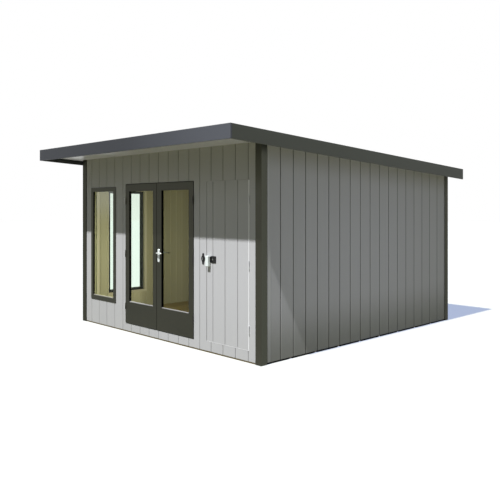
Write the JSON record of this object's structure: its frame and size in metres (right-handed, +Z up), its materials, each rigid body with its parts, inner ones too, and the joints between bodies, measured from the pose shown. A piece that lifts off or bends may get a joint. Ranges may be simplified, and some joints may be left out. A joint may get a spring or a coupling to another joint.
{
  "type": "garden studio",
  "caption": "Flat-fronted garden room with a single-slope roof, wide front eave, upright grey boards, glazed double doors, tall windows and a flush store door.",
  "frame": {"origin": "on the ground under the middle of the roof's plan", "axes": "+X to the right along the front, +Y from the front to the back, +Z up"},
  "size_m": [4.089, 4.69, 2.506],
  "materials": {
    "joist_timber": "sawn, treated",
    "floor_board": "oiled boards",
    "wall_lining": "lacquered lining boards",
    "cladding_grey": "painted grey",
    "dark_paint": "satin dark paint",
    "fascia_grey": "powder coated",
    "roof_core": "lined panel",
    "roof_membrane": "matt sheet",
    "soffit_pale": "painted",
    "glass": "clear",
    "hinge_dark": "satin",
    "bright_chrome": "polished",
    "black_iron": "black coated",
    "store_timber": "planed timber"
  },
  "bodies": {
    "studio": {"floor_joists": "joist_timber", "floor_deck": "floor_board", "front_wall_left_end": "wall_lining", "front_wall_left_pier": "wall_lining", "front_wall_right_pier": "wall_lining", "front_wall_right_end": "wall_lining", "front_wall_over_door": "wall_lining", "front_wall_over_store_door": "wall_lining", "front_wall_window_panels": "wall_lining", "left_wall_front": "wall_lining", "left_wall_rear": "wall_lining", "left_wall_window_panels": "wall_lining", "right_wall": "wall_lining", "back_wall": "wall_lining", "front_cladding": "cladding_grey", "left_cladding": "cladding_grey", "right_cladding": "cladding_grey", "back_cladding": "cladding_grey", "corner_trims": "dark_paint", "door_frame": "dark_paint", "front_window_frame": "dark_paint", "left_window_frame": "dark_paint", "fascia_front": "fascia_grey", "fascia_back": "fascia_grey", "fascia_left": "fascia_grey", "fascia_right": "fascia_grey", "roof_panel": "roof_core", "roof_membrane": "roof_membrane", "soffit_boards": "soffit_pale", "front_window_glass": "glass", "left_window_glass": "glass", "frame_hinges": "hinge_dark", "hasp_keeper": "black_iron", "store_door_frame": "store_timber"},
    "left_door": {"left_door_leaf": "dark_paint", "left_door_glass": "glass", "left_door_hinges": "hinge_dark"},
    "right_door": {"right_door_leaf": "dark_paint", "right_door_glass": "glass", "right_door_hinges": "hinge_dark", "handle_plates": "bright_chrome", "lock_cylinder": "bright_chrome"},
    "door_lever": {"door_lever": "bright_chrome"},
    "store_door": {"store_door_leaf": "store_timber", "store_door_cladding": "cladding_grey", "store_door_hinges": "hinge_dark", "hasp": "black_iron", "padlock_body": "bright_chrome", "padlock_shackle": "bright_chrome"}
  },
  "joints": [
    {"name": "left_door_hinge", "type": "hinge", "parent": "studio", "child": "left_door", "pos_m": [-0.7345, -1.761, 1], "axis": [0, 0, -1], "range_deg": [0, 100]},
    {"name": "right_door_hinge", "type": "hinge", "parent": "studio", "child": "right_door", "pos_m": [0.7305, -1.761, 1], "axis": [0, 0, 1], "range_deg": [0, 100]},
    {"name": "lever_turn", "type": "hinge", "parent": "right_door", "child": "door_lever", "pos_m": [0.0395, -1.75, 1.106], "axis": [0, 1, 0], "range_deg": [0, 45], "stiffness_Nm_per_rad": 2, "springref_deg": -28.65},
    {"name": "store_door_hinge", "type": "hinge", "parent": "studio", "child": "store_door", "pos_m": [1.6825, -1.753, 1], "axis": [0, 0, 1], "range_deg": [0, 100]}
  ]
}
